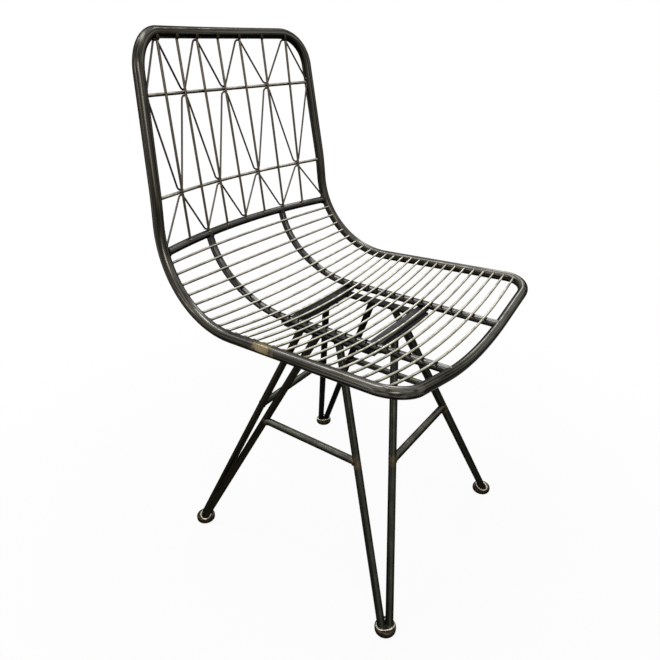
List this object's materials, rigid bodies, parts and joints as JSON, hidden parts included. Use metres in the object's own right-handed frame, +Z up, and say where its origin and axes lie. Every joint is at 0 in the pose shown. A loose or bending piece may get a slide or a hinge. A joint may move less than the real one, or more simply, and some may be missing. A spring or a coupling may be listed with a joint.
{
  "type": "wire mesh chair",
  "caption": "Armless dining chair of welded steel: a bent tube rim carries a wire seat and a zigzag wire back, on a splayed rod base with round feet.",
  "frame": {"origin": "on the floor, under the middle of the overall box", "axes": "+Z up, -Y towards the chair's front, +X towards the sitter's left"},
  "size_m": [0.4584, 0.505, 0.842],
  "materials": {
    "tube": "dark gunmetal brown lacquer over steel tube, semi-gloss",
    "wire": "worn antique pewter finish on steel wire, satin",
    "foot": "dark bronze lacquer, semi-gloss",
    "fastener": "black zinc, satin"
  },
  "bodies": {
    "root": {"back_rod_1": "wire", "back_rod_2": "wire", "back_rod_3": "wire", "back_rod_4": "wire", "back_rod_5": "wire", "back_rod_6": "wire", "back_rod_7": "wire", "base_bar_front": "tube", "base_bar_left": "tube", "base_bar_rear": "tube", "base_bar_right": "tube", "crossbar_lower": "wire", "crossbar_upper": "wire", "feet": "foot", "leg_front_left_end": "tube", "leg_front_left_side": "tube", "leg_front_right_end": "tube", "leg_front_right_side": "tube", "leg_rear_left_end": "tube", "leg_rear_left_side": "tube", "leg_rear_right_end": "tube", "leg_rear_right_side": "tube", "leg_stretchers": "tube", "long_seat_tube_left": "tube", "long_seat_tube_right": "tube", "lumbar_bar": "tube", "rim_front_tube": "tube", "rim_rear_tube": "tube", "seat_bar_front": "tube", "seat_bar_rear": "tube", "seat_nuts": "fastener", "seat_screws": "fastener", "seat_washers": "fastener", "seat_wire_01": "wire", "seat_wire_02": "wire", "seat_wire_03": "wire", "seat_wire_04": "wire", "seat_wire_05": "wire", "seat_wire_06": "wire", "seat_wire_07": "wire", "seat_wire_08": "wire", "seat_wire_09": "wire", "seat_wire_10": "wire", "seat_wire_11": "wire", "seat_wire_12": "wire", "seat_wire_13": "wire", "seat_wire_14": "wire", "seat_wire_15": "wire", "seat_wire_16": "wire", "seat_wire_17": "wire", "seat_wire_18": "wire", "seat_wire_19": "wire", "seat_wire_20": "wire", "seat_wire_21": "wire", "seat_wire_22": "wire", "seat_wire_23": "wire", "seat_wire_24": "wire", "zigzag_wire_lower": "wire", "zigzag_wire_middle": "wire", "zigzag_wire_upper": "wire"}
  },
  "joints": []
}
